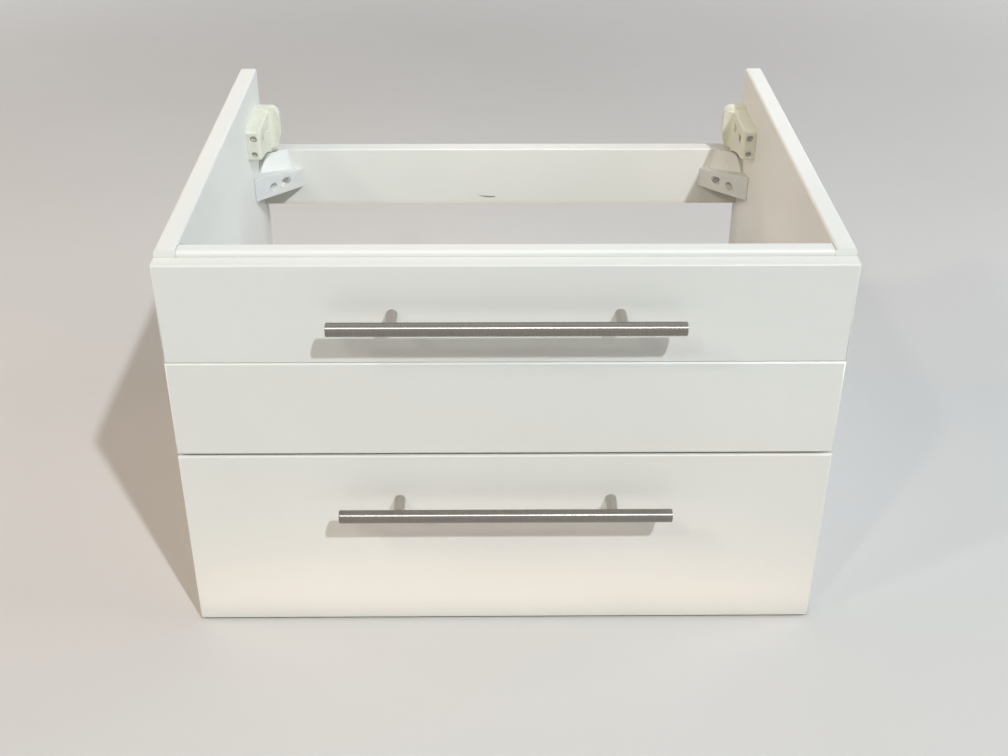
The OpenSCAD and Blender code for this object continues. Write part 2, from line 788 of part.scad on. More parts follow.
module handle_bar(z) {
  c = handle_chamfer;
  r = handle_bar_d / 2;
  l = handle_l / 2;
  color("#b8b2aa") difference() {
    translate([0, handle_bar_y, z]) rotate([0, 90, 0])
      rotate_extrude() polygon([[0, -l], [r - c, -l], [r, c - l], [r, l - c], [r - c, l], [0, l]]);
    for (s = [left, right]) translate([s * handle_spacing / 2, 0, z])
      rod_y(spigot_d + 2 * play, handle_bar_y - 1, handle_bar_y + handle_bar_d);
  }
}

module handle_posts(z) {
  color("#b8b2aa") for (s = [left, right]) translate([s * handle_spacing / 2, 0, z]) {
    difference() {
      rod_y(handle_post_d, handle_bar_y, front_face);
      translate([0, handle_bar_y, 0]) rod_x(handle_bar_d + 2 * play, -handle_post_d,
        handle_post_d);
      rod_y(handle_screw_d + 2 * play, front_face - handle_screw_reach - play, front_face + eps);
    }
    rod_y(spigot_d, handle_bar_y, front_face - handle_screw_reach - 1);
  }
}

module handle_screws(z) {
  head = front_back - counterbore;
  color("silver") for (s = [left, right]) translate([s * handle_spacing / 2, 0, z])
    difference() {
      union() {
        rod_y(handle_head_d, head, head + handle_head_h);
        rod_y(handle_screw_d, front_face - handle_screw_reach, head + eps);
      }
      for (a = [0, 90]) rotate([0, a, 0])
        translate([-2.2, head + handle_head_h - 1.4, -0.5]) cube([4.4, 1.4 + eps, 1]);
    }
}

// ---------------------------------------------------------------- drawer boxes

// The space of the groove round a base: a slab that reaches into every board
module base_slab(b, reach, gap) {
  translate([-box_in - reach, front_back + box_t - reach, box_z(b) + base_rise - gap])
    cube([2 * (box_in + reach), b[2] - 2 * box_t + 2 * reach, base_t + 2 * gap]);
}

module box_side(s, b) {
  color("gainsboro") difference() {
    at_side(s) translate([slide_t, front_back, box_z(b)]) cube([box_t, b[2], box_h(b)]);
    base_slab(b, base_groove, play);
    at_side(s) for (y = slide_screw_y(b)) translate([0, y, slide_z(b)])
      rod_x(screw_d + 2 * play, slide_t - eps,
        slide_t - slide_gauge + runner_screw_l + play);
  }
}

module box_front(b) {
  color("gainsboro") difference() {
    translate([-box_in, front_back, box_z(b)]) cube([2 * box_in, box_t, box_h(b)]);
    base_slab(b, base_groove, play);
    for (p = front_screw_spots(b)) translate([p[0], 0, p[1]])
      rod_y(screw_d + 2 * play, front_back - eps, front_back + box_t + eps);
  }
}

// A back board of a box from x0 to x1
module box_back_board(b, x0, x1) {
  color("gainsboro") difference() {
    translate([x0, box_back(b) - box_t, box_z(b)]) cube([x1 - x0, box_t, box_h(b)]);
    base_slab(b, base_groove, play);
  }
}

// Plan of the trap cut-out, open to the back at y = 0, with round front corners
module trap_plan(w, d, r) {
  translate([-w / 2, r - d]) square([w, d - r]);
  translate([r - w / 2, -d]) square([w - 2 * r, d]);
  for (s = [left, right]) translate([s * (w / 2 - r), r - d]) circle(r);
}

module trap_shield() {
  flange_z = upper_box_z + base_rise + base_t + play;
  flange_d = trap_d + shield_t - box_t - play;
  color("lightgray") translate([0, box_back(upper), 0]) difference() {
    union() {
      translate([0, 0, upper_box_z]) linear_extrude(upper_box_h)
        trap_plan(trap_w + 2 * shield_t, trap_d + shield_t, trap_r + shield_t);
      translate([0, -box_t - play, flange_z]) linear_extrude(2)
        trap_plan(trap_w + 2 * (shield_t + shield_flange), flange_d + shield_flange,
          trap_r + shield_t + shield_flange);
    }
    translate([0, eps, upper_box_z - eps]) linear_extrude(upper_box_h + 2 * eps)
      trap_plan(trap_w, trap_d + eps, trap_r);
  }
}

module upper_box_back(s) {
  x0 = trap_w / 2 + shield_t;
  if (s < 0) box_back_board(upper, -box_in, -x0);
  else box_back_board(upper, x0, box_in);
}

module box_base(b, notched) {
  cut = shield_t + play;
  color("whitesmoke") difference() {
    base_slab(b, base_groove - play, 0);
    if (notched) translate([0, box_back(b), box_z(b)]) linear_extrude(box_h(b))
      trap_plan(trap_w + 2 * cut, trap_d + cut, trap_r + cut);
  }
}

module front_screws(b) {
  color("silver") for (p = front_screw_spots(b)) translate([p[0], front_back + box_t, p[1]])
    rotate([90, 0, 0]) pan_screw(front_screw_l);
}

// ---------------------------------------------------------------- nodes

side_panel(left);  // side_panel_left
side_panel(right);  // side_panel_right
front_rail();
back_rail();
bottom_panel();
wood_dowels();
corner_block(left);  // corner_block_left
corner_block(right);  // corner_block_right
panel_screws();
front_bumpers();
hanger_housing(left);  // hanger_housing_left
hanger_housing(right);  // hanger_housing_right
adjusting_screw(left, height_screw_z, adjust_head_d);  // height_screw_left
adjusting_screw(right, height_screw_z, adjust_head_d);  // height_screw_right
adjusting_screw(left, depth_screw_z, depth_head_d);  // depth_screw_left
adjusting_screw(right, depth_screw_z, depth_head_d);  // depth_screw_right
hanger_carriage(left);  // hanger_carriage_left
hanger_carriage(right);  // hanger_carriage_right
hanger_hook(left);  // hanger_hook_left
hanger_hook(right);  // hanger_hook_right
slide_rail(left, upper);  // upper_slide_rail_left
slide_rail(right, upper);  // upper_slide_rail_right
slide_rail(left, lower);  // lower_slide_rail_left
slide_rail(right, lower);  // lower_slide_rail_right
slide_middle(left, upper);  // upper_slide_middle_left
slide_middle(right, upper);  // upper_slide_middle_right
slide_middle(left, lower);  // lower_slide_middle_left
slide_middle(right, lower);  // lower_slide_middle_right
ball_cages(upper, mid_half, 7.5);  // upper_outer_ball_cages
ball_cages(upper, runner_half, 8.6);  // upper_inner_ball_cages
ball_cages(lower, mid_half, 7.5);  // lower_outer_ball_cages
ball_cages(lower, runner_half, 8.6);  // lower_inner_ball_cages
upper_front();
handle_bar(upper_handle_z);  // upper_handle_bar
handle_posts(upper_handle_z);  // upper_handle_posts
handle_screws(upper_handle_z);  // upper_handle_screws
box_front(upper);  // upper_box_front
box_side(left, upper);  // upper_box_side_left
box_side(right, upper);  // upper_box_side_right
upper_box_back(left);  // upper_box_back_left
upper_box_back(right);  // upper_box_back_right
trap_shield();
box_base(upper, true);  // upper_box_base
front_screws(upper);  // upper_front_screws
slide_runner(left, upper);  // upper_slide_runner_left
slide_runner(right, upper);  // upper_slide_runner_right
runner_screws(upper);  // upper_runner_screws
lower_front();
handle_bar(lower_handle_z);  // lower_handle_bar
handle_posts(lower_handle_z);  // lower_handle_posts
handle_screws(lower_handle_z);  // lower_handle_screws
box_front(lower);  // lower_box_front
box_side(left, lower);  // lower_box_side_left
box_side(right, lower);  // lower_box_side_right
box_back_board(lower, -box_in, box_in);  // lower_box_back
box_base(lower, false);  // lower_box_base
front_screws(lower);  // lower_front_screws
slide_runner(left, lower);  // lower_slide_runner_left
slide_runner(right, lower);  // lower_slide_runner_right
runner_screws(lower);  // lower_runner_screws
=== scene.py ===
"""Looks for the wall-hung vanity base: materials, eased edges, floor, light and camera.

Lengths are in metres and angles in degrees, unless a name says otherwise."""

import json
import math

import bmesh
import bpy
from mathutils import Matrix, Vector


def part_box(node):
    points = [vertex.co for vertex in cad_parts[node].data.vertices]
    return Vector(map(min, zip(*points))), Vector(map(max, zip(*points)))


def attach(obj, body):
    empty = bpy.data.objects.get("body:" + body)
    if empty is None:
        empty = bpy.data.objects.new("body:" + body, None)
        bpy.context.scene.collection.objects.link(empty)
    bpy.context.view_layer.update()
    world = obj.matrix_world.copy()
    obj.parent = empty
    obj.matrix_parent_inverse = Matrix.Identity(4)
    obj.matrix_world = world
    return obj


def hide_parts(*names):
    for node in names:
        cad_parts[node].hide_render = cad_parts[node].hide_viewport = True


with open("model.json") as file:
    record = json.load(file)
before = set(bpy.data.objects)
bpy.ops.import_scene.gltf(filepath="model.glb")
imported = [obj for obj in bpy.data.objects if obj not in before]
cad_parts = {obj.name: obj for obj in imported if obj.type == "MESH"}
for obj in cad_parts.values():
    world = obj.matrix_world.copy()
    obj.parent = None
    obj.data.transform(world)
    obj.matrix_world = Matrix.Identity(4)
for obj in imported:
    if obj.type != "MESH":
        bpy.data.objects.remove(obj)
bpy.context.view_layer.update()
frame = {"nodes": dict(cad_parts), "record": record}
NODES = frame["nodes"]
BODIES = frame["record"]["behaviour"]["bodies"]
BODY_OF = {node: body for body, nodes in BODIES.items() for node in nodes}
SLOT_OF = {part["node"]: part["material_slot"] for part in frame["record"]["subparts"]}

# The camera, found from the outlines of the boards in the photograph
CAMERA_PLACE = (-0.01384, -1.4769, 0.8765)
CAMERA_PITCH = 31.2646
CAMERA_YAW = -0.6957
CAMERA_ROLL = 0.1801
CAMERA_NEAR = 0.05
CAMERA_FAR = 60
LENS_MM = 48.289
SENSOR_MM = 36

# Widths of eased edges
FINE_EDGE = 0.0003
BOARD_EDGE = 0.0005
SHIELD_EDGE = 0.0006
BLOCK_EDGE = 0.0008
HOUSING_EDGE = 0.0009
EDGE_SEGMENTS = 2
EDGE_ANGLE = 38

# Clean-up of the copied solids
WELD_DISTANCE = 0.000002
FLAT_ANGLE = 0.6
SMOOTH_ANGLE = 32

# Heights between which the boards' painted warm light, bounced from the floor, fades out
PAINTED_BOUNCE_LOW = 0.02
PAINTED_BOUNCE_HIGH = 0.3

# The floor, and the distances between which it turns into the backdrop
FLOOR_HALF = 9.0
FLOOR_DROP = 0.0002
BACKDROP_STARTS = 1.1
BACKDROP_FULL = 3.0

WORLD_LIGHT = 0.15

# Sockets of the Mix node in its colour mode, which share their names with its other modes
MIX_FACTOR = 0
MIX_A = 6
MIX_B = 7
MIX_RESULT = 2


def shown(name, data):
    """A new object of the scene that holds a mesh, a lamp or a camera."""
    thing = bpy.data.objects.new(name, data)
    bpy.context.scene.collection.objects.link(thing)
    return thing


# ------------------------------------------------------------------ camera

def make_camera():
    """A camera where the photograph was taken from."""
    pitch, yaw, roll = (math.radians(a) for a in (CAMERA_PITCH, CAMERA_YAW, CAMERA_ROLL))
    level_right = Vector((math.cos(yaw), math.sin(yaw), 0))
    level_ahead = Vector((-math.sin(yaw), math.cos(yaw), 0))
    ahead = math.cos(pitch) * level_ahead - math.sin(pitch) * Vector((0, 0, 1))
    up = math.sin(pitch) * level_ahead + math.cos(pitch) * Vector((0, 0, 1))
    camera_right = math.cos(roll) * level_right + math.sin(roll) * up
    camera_up = math.cos(roll) * up - math.sin(roll) * level_right
    data = bpy.data.cameras.new("camera")
    data.sensor_width = SENSOR_MM
    data.lens = LENS_MM
    data.clip_start = CAMERA_NEAR
    data.clip_end = CAMERA_FAR
    camera = shown("camera", data)
    turn = Matrix((camera_right, camera_up, -ahead)).transposed().to_4x4()
    camera.matrix_world = Matrix.Translation(CAMERA_PLACE) @ turn
    bpy.context.scene.camera = camera


# ------------------------------------------------------------------ node trees

def srgb(r, g, b):
    """A colour given as 0-255 screen values, in linear light."""
    def one(v):
        v /= 255
        return v / 12.92 if v <= 0.04045 else ((v + 0.055) / 1.055) ** 2.4
    return one(r), one(g), one(b), 1.0


BACKDROP = srgb(226, 225, 223)


class Nodes:
    """A short way to write a node tree. An input takes a plain value or another node's output."""

    def __init__(self, tree):
        self.tree = tree
        tree.nodes.clear()

    def add(self, kind, **settings):
        node = self.tree.nodes.new(kind)
        for key, value in settings.items():
            setattr(node, key, value)
        return node

    def feed(self, socket, value):
        """Links an input to an output, or sets it to a plain value."""
        if isinstance(value, bpy.types.NodeSocket):
            self.tree.links.new(value, socket)
        else:
            socket.default_value = value

    def work_out(self, operation, *values):
        """The result of an operation on one or two values."""
        node = self.add("ShaderNodeMath", operation=operation)
        for socket, value in zip(node.inputs, values):
            self.feed(socket, value)
        return node.outputs["Value"]

    def spread(self, value, low, high, out_low, out_high, curve="LINEAR"):
        """Maps a range of a value to another range, and holds it at both ends."""
        node = self.add("ShaderNodeMapRange", interpolation_type=curve)
        self.feed(node.inputs["Value"], value)
        for name, limit in (("From Min", low), ("From Max", high), ("To Min", out_low),
                            ("To Max", out_high)):
            node.inputs[name].default_value = limit
        return node.outputs["Result"]

    def background_rays(self):
        """1 for the rays that show the background: camera, glossy and transmission rays."""
        path = self.add("ShaderNodeLightPath").outputs
        direct = self.work_out("MAXIMUM", path["Is Camera Ray"], path["Is Transmission Ray"])
        return self.work_out("MAXIMUM", direct, path["Is Glossy Ray"])

    def mix_shaders(self, factor, first, second):
        node = self.add("ShaderNodeMixShader")
        for socket, value in zip(node.inputs, (factor, first, second)):
            self.feed(socket, value)
        return node.outputs["Shader"]


class Shader(Nodes):
    """A new material with a Principled shader to fill in. Its places are object coordinates."""

    def __init__(self, name):
        self.material = bpy.data.materials.new(name)
        self.material.use_nodes = True
        super().__init__(self.material.node_tree)
        self.surface = self.add("ShaderNodeOutputMaterial").inputs["Surface"]
        self.bsdf = self.add("ShaderNodeBsdfPrincipled")
        self.feed(self.surface, self.bsdf.outputs["BSDF"])
        self.where = self.add("ShaderNodeTexCoord").outputs["Object"]

    def set(self, name, value):
        """Sets or links an input of the Principled shader."""
        self.feed(self.bsdf.inputs[name], value)

    def base_colour(self):
        """The output that feeds the base colour so far."""
        return self.bsdf.inputs["Base Color"].links[0].from_socket

    def axis(self, name):
        """The X, Y or Z of a place on the surface."""
        split = self.add("ShaderNodeSeparateXYZ")
        self.feed(split.inputs["Vector"], self.where)
        return split.outputs[name]

    def place(self, stretch):
        """The place on the surface, stretched along each axis."""
        mapping = self.add("ShaderNodeMapping")
        mapping.inputs["Scale"].default_value = stretch
        self.feed(mapping.inputs["Vector"], self.where)
        return mapping.outputs["Vector"]

    def noise(self, scale, detail=3, harshness=0.55, stretch=(1, 1, 1)):
        node = self.add("ShaderNodeTexNoise")
        self.feed(node.inputs["Vector"], self.place(stretch))
        node.inputs["Scale"].default_value = scale
        node.inputs["Detail"].default_value = detail
        node.inputs["Roughness"].default_value = harshness
        return node.outputs["Fac"]

    def even_spread(self, noise, low=0, high=1):
        """Maps the values that a noise mostly takes to a range."""
        return self.spread(noise, 0.3, 0.7, low, high)

    def mix(self, factor, a, b, blend="MIX"):
        """A mixture of two colours."""
        node = self.add("ShaderNodeMix", data_type="RGBA", blend_type=blend)
        for index, value in ((MIX_FACTOR, factor), (MIX_A, a), (MIX_B, b)):
            self.feed(node.inputs[index], value)
        return node.outputs[MIX_RESULT]

    def relief(self, *layers):
        """Gives the surface bumps: layers of a height and its depth, each over the one before."""
        normal = None
        for height, depth in layers:
            node = self.add("ShaderNodeBump")
            node.inputs["Strength"].default_value = 1.0
            node.inputs["Distance"].default_value = depth
            self.feed(node.inputs["Height"], height)
            if normal is not None:
                self.feed(node.inputs["Normal"], normal)
            normal = node.outputs["Normal"]
        self.set("Normal", normal)


# ------------------------------------------------------------------ materials
# rough is the range of a material's roughness: the least and the most.

def board(name, base, second, painted_bounce_tint, rough, peel=1.0):
    """White foiled board: faint clouding, painted warm bounce light from the floor low down, and
    a fine film texture.
    """
    s = Shader(name)
    tone = s.mix(s.even_spread(s.noise(scale=5, detail=4)), base, second)
    # Painted light: the colour turns warmer and a little darker low down, standing in for warm
    # light bounced from the floor.
    painted_bounce_mask = s.spread(s.axis("Z"), PAINTED_BOUNCE_LOW, PAINTED_BOUNCE_HIGH, 1, 0)
    s.set("Base Color", s.mix(painted_bounce_mask, tone, painted_bounce_tint, "MULTIPLY"))
    s.set("Roughness", s.even_spread(s.noise(scale=40), *rough))
    s.relief((s.noise(scale=900, detail=2), 0.00004 * peel),
             (s.noise(scale=110), 0.00012 * peel))
    s.set("Specular IOR Level", 0.45)
    return s


def plastic(name, base, second, rough, light_through, light_depth=0.6):
    """Moulded plastic: slight flow clouding, fine erosion texture and some light inside."""
    s = Shader(name)
    s.set("Base Color", s.mix(s.even_spread(s.noise(scale=45, detail=4)), base, second))
    s.set("Roughness", s.even_spread(s.noise(scale=180), *rough))
    s.relief((s.noise(scale=2600, detail=2), 0.00002), (s.noise(scale=170), 0.00008))
    s.set("Subsurface Weight", light_through)
    s.set("Subsurface Radius", (0.003, 0.0028, 0.002))
    s.set("Subsurface Scale", light_depth)
    return s


def metal(name, base, second, rough, scale, depth, stretch=(1, 1, 1), aniso=0.0, bare=1.0):
    """Metal with fine lines along one axis, cloudy tone and uneven roughness.

    scale, depth and stretch are the lines'. bare is the share that shines as clean metal; the
    rest is its dull coating."""
    s = Shader(name)
    lines = s.noise(scale, detail=5, harshness=0.65, stretch=stretch)
    tone = s.mix(s.even_spread(lines), base, second)
    stains = s.spread(s.noise(scale=26), 0.35, 0.75, 0, 0.35)
    s.set("Base Color", s.mix(stains, tone, second))
    s.set("Roughness", s.even_spread(lines, *rough))
    s.relief((lines, depth))
    s.set("Metallic", bare)
    if aniso:
        s.set("Anisotropic", aniso)
        s.set("Anisotropic Rotation", 0.25)
        round_x = s.add("ShaderNodeTangent", direction_type="RADIAL", axis="X")
        s.set("Tangent", round_x.outputs["Tangent"])
    return s


def beech():
    """Turned beech: rings and short dark flecks along the dowel."""
    s = Shader("beech")
    rings = s.add("ShaderNodeTexWave", wave_type="RINGS", rings_direction="X")
    rings.inputs["Scale"].default_value = 160
    rings.inputs["Distortion"].default_value = 3
    s.feed(rings.inputs["Vector"], s.place((0.2, 1, 1)))
    tone = s.mix(rings.outputs["Fac"], srgb(214, 182, 140), srgb(196, 158, 112))
    grain = s.noise(scale=900, detail=2, harshness=0.5, stretch=(0.12, 1, 1))
    flecks = s.spread(grain, 0.55, 0.7, 0, 0.5)
    s.set("Base Color", s.mix(flecks, tone, srgb(150, 108, 70)))
    s.set("Roughness", s.even_spread(s.noise(scale=300, detail=2), 0.55, 0.75))
    s.relief((s.noise(scale=700, harshness=0.6, stretch=(0.15, 1, 1)), 0.00008))
    return s


def melamine():
    """Light grey melamine of the drawer boards, with the faint linen of its print."""
    s = Shader("melamine")
    warp = s.noise(scale=420, detail=4, harshness=0.6, stretch=(1, 1, 0.12))
    weft = s.noise(scale=420, detail=4, harshness=0.6, stretch=(0.12, 0.12, 1))
    tone = s.mix(s.spread(warp, 0.35, 0.65, 0, 1), srgb(216, 215, 211), srgb(208, 207, 203))
    threads = s.spread(weft, 0.6, 0.75, 0, 0.35)
    s.set("Base Color", s.mix(threads, tone, srgb(198, 197, 193)))
    s.set("Roughness", s.even_spread(s.noise(scale=60), 0.42, 0.6))
    s.relief((warp, 0.00005))
    return s


def front_rail_board(base, second, painted_bounce_tint, rough):
    """The front rail: as the other boards, with patchy painted shade in the joints at its two
    ends.
    """
    rail_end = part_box("front_rail")[1].x
    s = board("board_front_rail", base, second, painted_bounce_tint, rough)
    from_middle = s.work_out("ABSOLUTE", s.axis("X"))
    # Painted shade: patchy darkening over the last millimetre of each end, where the rail meets a
    # side panel.
    joint = s.spread(from_middle, rail_end - 0.0014, rail_end - 0.0002, 0, 0.75)
    patchy = s.spread(s.noise(scale=160), 0.35, 0.6, 0.15, 1)
    joint_shade = s.work_out("MULTIPLY", joint, patchy)
    s.set("Base Color", s.mix(joint_shade, s.base_colour(), srgb(150, 146, 138)))
    return s


def pen_mark(s, rail_face, rail_foot):
    """Nearly 1 on a short bowed pen stroke low on the back rail's face, and 0 elsewhere."""
    left, lowest, right = -0.0285, -0.0125, -0.0065
    fade_in, fade_out = 0.010, 0.002
    low, rise = 0.0084, 0.0022
    core, soft_edge = 0.0004, 0.0007
    x = s.axis("X")
    before_lowest = s.spread(x, left + 0.0005, lowest, 1, 0)
    bow = s.work_out("MULTIPLY", before_lowest, before_lowest)
    height = s.spread(bow, 0, 1, rail_foot + low, rail_foot + low + rise)
    distance = s.work_out("ABSOLUTE", s.work_out("SUBTRACT", s.axis("Z"), height))
    stroke = s.spread(distance, core, core + soft_edge, 1, 0)
    begin = s.spread(x, left, left + fade_in, 0, 1)
    end = s.spread(x, right - fade_out, right, 1, 0)
    on_face = s.spread(s.axis("Y"), rail_face + 0.0005, rail_face + 0.0002, 0, 0.85)
    along = s.work_out("MULTIPLY", begin, end)
    return s.work_out("MULTIPLY", s.work_out("MULTIPLY", stroke, along), on_face)


def back_rail_board():
    """The back rail: a lighter copy of the other boards, painted light for the bounce on its
    face, warmer at its foot, its top band painted darker again, and one small pen mark.
    """
    low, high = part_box("back_rail")
    # Painted light: a lighter white than the other boards, standing in for bounce light on the
    # rail's face.
    s = board("board_rail", srgb(241, 240, 233), srgb(236, 235, 228), srgb(255, 253, 250),
              rough=(0.4, 0.55))
    foot = s.spread(s.axis("Z"), low.z + 0.0005, low.z + 0.0045, 0.8, 0)
    tinted_rail = s.mix(foot, s.base_colour(), srgb(255, 240, 232), "MULTIPLY")
    # Painted shade: the top band is darkened back towards the plain boards, so only the face
    # keeps the painted light.
    painted_top_band = s.spread(s.axis("Z"), high.z - 0.002, high.z - 0.0005, 0, 1)
    tinted_rail = s.mix(painted_top_band, tinted_rail, srgb(240, 240, 241), "MULTIPLY")
    s.set("Base Color", s.mix(pen_mark(s, low.y, low.z), tinted_rail, srgb(74, 82, 84)))
    return s


def make_materials():
    white = srgb(236, 235, 229), srgb(231, 231, 225)
    # The tint of the painted warm bounce light low down on the boards.
    painted_bounce_tint = srgb(255, 252, 248)
    satin = (0.34, 0.48)
    made = {
        "white_board": board("board_white", *white, painted_bounce_tint, satin),
        "front_board": board("board_front", srgb(229, 229, 223), srgb(225, 225, 219), painted_bounce_tint,
                             rough=(0.3, 0.42), peel=0.8),
        "back_board": back_rail_board(),
        "rail_board": front_rail_board(*white, painted_bounce_tint, satin),
        "drawer_board": melamine(),
        "dowel_wood": beech(),
        "white_plastic": plastic("plastic_white", srgb(226, 226, 221), srgb(220, 221, 216),
                                 rough=(0.45, 0.55), light_through=0.6, light_depth=2.0),
        "cream_plastic": plastic("plastic_cream", srgb(231, 231, 214), srgb(224, 225, 207),
                                 rough=(0.34, 0.46), light_through=0.2),
        "filler": plastic("filler_paste", srgb(208, 206, 202), srgb(200, 198, 194),
                          rough=(0.6, 0.8), light_through=0.05),
        "bumper": plastic("plastic_clear", srgb(226, 228, 226), srgb(218, 221, 220),
                          rough=(0.2, 0.3), light_through=0.5),
        "zinc_alloy": metal("zinc_cast", srgb(128, 129, 131), srgb(104, 105, 108),
                            rough=(0.42, 0.58), scale=500, depth=0.00005),
        "zinced_steel": metal("steel_screw", srgb(222, 222, 222), srgb(198, 199, 201),
                              rough=(0.3, 0.42), scale=700, depth=0.00002, bare=0.5),
        "slide_steel": metal("steel_slide", srgb(186, 189, 192), srgb(162, 166, 170),
                             rough=(0.3, 0.42), scale=600, depth=0.00002,
                             stretch=(1, 0.06, 1)),
        "ball_steel": metal("steel_ball", srgb(182, 184, 186), srgb(150, 152, 156),
                            rough=(0.2, 0.32), scale=500, depth=0.00001),
        "dull_screw": metal("steel_dull", srgb(224, 223, 217), srgb(206, 205, 200),
                            rough=(0.5, 0.62), scale=700, depth=0.00002, bare=0.25),
        "handle_metal": metal("steel_handle", srgb(153, 148, 143), srgb(138, 133, 128),
                              rough=(0.3, 0.36), scale=1500, depth=0.000006,
                              stretch=(1, 0.02, 0.02), aniso=0.9),
        "post_metal": metal("steel_post", srgb(196, 190, 184), srgb(178, 172, 166),
                            rough=(0.26, 0.34), scale=900, depth=0.00001,
                            stretch=(1, 0.04, 1)),
        "shield_plastic": plastic("plastic_grey", srgb(186, 188, 190), srgb(178, 180, 183),
                                  rough=(0.38, 0.5), light_through=0.05),
    }
    return {key: shader.material for key, shader in made.items()}


# ------------------------------------------------------------------ pieces

def applied(piece):
    """The piece's mesh with its modifiers applied."""
    depsgraph = bpy.context.evaluated_depsgraph_get()
    mesh = bpy.data.meshes.new_from_object(piece.evaluated_get(depsgraph))
    piece.modifiers.clear()
    return mesh


def keep_inside(mesh, box_of):
    """Moves stray vertices of an eased mesh back into the box of the mesh it was made from."""
    low = [min(v.co[i] for v in box_of.vertices) for i in range(3)]
    high = [max(v.co[i] for v in box_of.vertices) for i in range(3)]
    for vertex in mesh.vertices:
        for i in range(3):
            vertex.co[i] = min(max(vertex.co[i], low[i]), high[i])


def eased_copy(node, width):
    """A copy of a CAD solid, its sharp edges eased by this width."""
    source = NODES[node]
    mesh = source.data.copy()
    mesh.name = node + "_eased"
    bm = bmesh.new()
    bm.from_mesh(mesh)
    bmesh.ops.remove_doubles(bm, verts=bm.verts, dist=WELD_DISTANCE)
    bmesh.ops.dissolve_limit(bm, angle_limit=math.radians(FLAT_ANGLE), verts=bm.verts,
                             edges=bm.edges)
    bm.to_mesh(mesh)
    bm.free()
    piece = shown(node + "_eased", mesh)
    if width > 0:
        bevel = piece.modifiers.new("ease", "BEVEL")
        bevel.width = width
        bevel.segments = EDGE_SEGMENTS
        bevel.limit_method = "ANGLE"
        bevel.angle_limit = math.radians(EDGE_ANGLE)
        bevel.use_clamp_overlap = True
        bevel.harden_normals = False
        piece.data = applied(piece)
        keep_inside(piece.data, source.data)
    return piece


def smooth(piece):
    """Smooth round faces, with normals that leave the large flat faces flat."""
    piece.data.shade_smooth()
    piece.data.set_sharp_from_angle(angle=math.radians(SMOOTH_ANGLE))
    weigh = piece.modifiers.new("weigh", "WEIGHTED_NORMAL")
    weigh.keep_sharp = True
    weigh.weight = 100
    piece.data = applied(piece)


def dress(node, material, width):
    """Shows an eased copy of a CAD node in its place."""
    piece = eased_copy(node, width)
    smooth(piece)
    piece.data.materials.clear()
    piece.data.materials.append(material)
    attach(piece, BODY_OF[node])
    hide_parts(node)


def filler_bead(material):
    """The small run of filler behind the left end of the front rail, thinning to the right."""
    low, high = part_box("front_rail")
    start, length, sink = 0.0002, 0.020, 0.0008
    thickest, thinnest, flatness = 0.0060, 0.0003, 0.6
    steps, around = 22, 10
    bm = bmesh.new()
    rings = []
    for i in range(steps + 1):
        t = i / steps
        x = low.x + start + length * t
        size = thickest * (1 - t) ** 1.5 + thinnest
        size *= 1 + 0.12 * math.sin(9 * t) + 0.06 * math.sin(23 * t)
        ring = []
        for k in range(around):
            a = 2 * math.pi * k / around
            y = high.y + size * math.cos(a)
            z = high.z - sink + size * flatness * (math.sin(a) - 1)
            ring.append(bm.verts.new((x, y, z)))
        rings.append(ring)
    for a, b in zip(rings, rings[1:]):
        for k in range(around):
            bm.faces.new((a[k], a[(k + 1) % around], b[(k + 1) % around], b[k]))
    bm.faces.new(rings[0])
    bm.faces.new(list(reversed(rings[-1])))
    bmesh.ops.recalc_face_normals(bm, faces=bm.faces)
    mesh = bpy.data.meshes.new("filler_bead")
    bm.to_mesh(mesh)
    bm.free()
    mesh.shade_smooth()
    mesh.materials.append(material)
    bead = shown("filler_bead", mesh)
    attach(bead, "cabinet")


def kind(node):
    """A node's name without its level and its side."""
    for level in ("upper_", "lower_"):
        node = node.removeprefix(level)
    for side in ("_left", "_right"):
        node = node.removesuffix(side)
    return node


def make_pieces(materials):
    """Dresses every node: in its slot's material and with a fine edge, unless named here."""
    special_materials = {"front": "front_board", "back_rail": "back_board",
                         "front_rail": "rail_board", "handle_posts": "post_metal",
                         "height_screw": "dull_screw", "depth_screw": "dull_screw"}
    already_round = ("front_board", "handle_metal", "post_metal", "dowel_wood", "ball_steel")
    widths = {"corner_block": BLOCK_EDGE, "hanger_housing": HOUSING_EDGE,
              "trap_shield": SHIELD_EDGE, "side_panel": BOARD_EDGE, "bottom_panel": BOARD_EDGE,
              "front_rail": BOARD_EDGE, "back_rail": BOARD_EDGE}
    for node in NODES:
        key = special_materials.get(kind(node), SLOT_OF[node])
        width = 0.0 if key in already_round else widths.get(kind(node), FINE_EDGE)
        dress(node, materials[key], width)
    filler_bead(materials["filler"])


# ------------------------------------------------------------------ stage and light

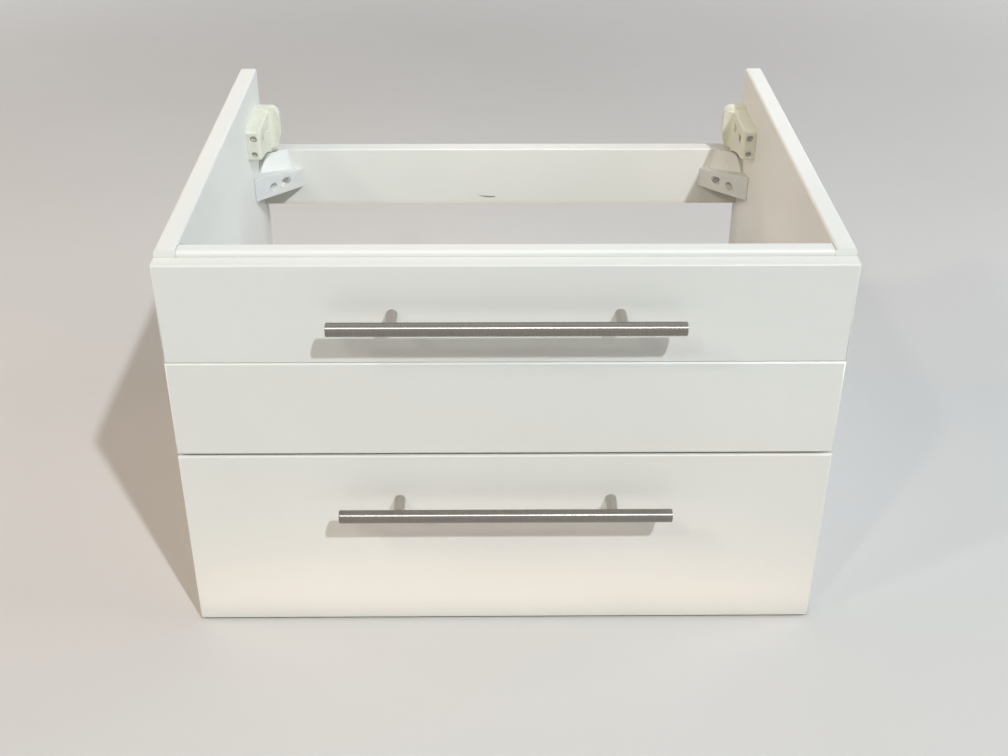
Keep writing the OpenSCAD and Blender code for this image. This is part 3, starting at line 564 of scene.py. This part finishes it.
def make_floor():
    """A plain pale floor, large enough for every view; far off it shows the backdrop's colour."""
    bm = bmesh.new()
    bmesh.ops.create_grid(bm, x_segments=2, y_segments=2, size=FLOOR_HALF)
    mesh = bpy.data.meshes.new("floor")
    bm.to_mesh(mesh)
    bm.free()
    floor = shown("floor", mesh)
    floor.location.z = -FLOOR_DROP
    s = Shader("floor")
    clouds = s.even_spread(s.noise(scale=1.3))
    s.set("Base Color", s.mix(clouds, srgb(206, 203, 199), srgb(202, 199, 195)))
    s.set("Roughness", s.even_spread(s.noise(scale=20), 0.7, 0.85))
    length = s.add("ShaderNodeVectorMath", operation="LENGTH")
    s.feed(length.inputs[0], s.where)
    far_off = s.spread(length.outputs["Value"], BACKDROP_STARTS, BACKDROP_FULL, 0, 1,
                       curve="SMOOTHSTEP")
    backdrop = s.add("ShaderNodeEmission")
    backdrop.inputs["Color"].default_value = BACKDROP
    factor = s.work_out("MULTIPLY", far_off, s.background_rays())
    s.feed(s.surface, s.mix_shaders(factor, s.bsdf.outputs["BSDF"],
                                    backdrop.outputs["Emission"]))
    mesh.materials.append(s.material)


def lamp(name, place, target, power, colour, width, depth=None):
    """An area lamp: a disc of this width, or a rectangle where its depth is given too."""
    data = bpy.data.lights.new(name, "AREA")
    data.shape = "DISK" if depth is None else "RECTANGLE"
    data.size = width
    if depth is not None:
        data.size_y = depth
    data.energy = power
    data.color = colour
    light = shown(name, data)
    light.location = place
    way = Vector(target) - Vector(place)
    light.rotation_mode = "QUATERNION"
    light.rotation_quaternion = way.to_track_quat("-Z", "Y")
    return light


def hidden_card(name, place, target, power, colour, width, depth, spread):
    """A small reflector card: it lights what it faces and is never seen itself."""
    card = lamp(name, place, target, power, colour, width, depth)
    card.visible_camera = False
    card.visible_glossy = False
    card.data.spread = math.radians(spread)


def place_around(centre, azimuth, elevation, distance):
    """A place at this distance from the centre, its azimuth turning right from the front."""
    a, e = math.radians(azimuth), math.radians(elevation)
    way = Vector((math.sin(a) * math.cos(e), -math.cos(a) * math.cos(e), math.sin(e)))
    return Vector(centre) + distance * way


def make_lamps():
    """Three far lamps before the fronts, three large soft ones, and two hidden cards."""
    fronts = (0, -0.45, 0.25)
    lamp("key", place_around(fronts, 28.1, 48.0, 10.0), fronts, 635, (0.88, 0.925, 1.0), 0.3)
    lamp("second", place_around(fronts, -30.0, 46.0, 4.0), fronts, 19, (0.95, 1.0, 0.84), 0.2)
    lamp("third", place_around(fronts, -58.0, 42.0, 4.0), fronts, 21, (1.0, 0.98, 0.86), 0.25)
    lamp("over_back", (0, 0.9, 2.6), (0, -0.2, 0.2), 5.5, (1.0, 0.95, 0.95), 2.2, 1.4)
    middle = (0, -0.25, 0.2)
    lamp("side_left", (-2.6, -0.3, 1.3), middle, 25, (1.0, 0.73, 0.57), 1.6, 1.2)
    lamp("side_right", (2.6, -0.3, 1.3), middle, 36, (0.79, 0.92, 1.0), 1.6, 1.2)
    hidden_card("floor_card", (0, -0.535, 0.004), (0, -0.535, 1.0), 0.115, (1.0, 0.74, 0.66),
                width=0.62, depth=0.06, spread=180)
    hidden_card("inside", (0.34, -0.46, 1.15), (-0.02, 0.0, 0.27), 0.2, (1.0, 0.95, 0.90),
                width=0.35, depth=0.15, spread=50)


def make_world():
    """An even dim light from all round, behind which the backdrop's colour is seen."""
    world = bpy.data.worlds.new("studio")
    bpy.context.scene.world = world
    world.use_nodes = True
    w = Nodes(world.node_tree)
    out = w.add("ShaderNodeOutputWorld")
    lit = w.add("ShaderNodeBackground")
    seen = w.add("ShaderNodeBackground")
    lit.inputs["Color"].default_value = (1.0, 1.0, 1.0, 1.0)
    lit.inputs["Strength"].default_value = WORLD_LIGHT
    seen.inputs["Color"].default_value = BACKDROP
    seen.inputs["Strength"].default_value = 1.0
    w.feed(out.inputs["Surface"], w.mix_shaders(w.background_rays(), lit.outputs["Background"],
                                                seen.outputs["Background"]))


make_camera()
make_pieces(make_materials())
make_floor()
make_lamps()
make_world()
bpy.context.scene.view_settings.view_transform = "Standard"

bpy.context.view_layer.update()
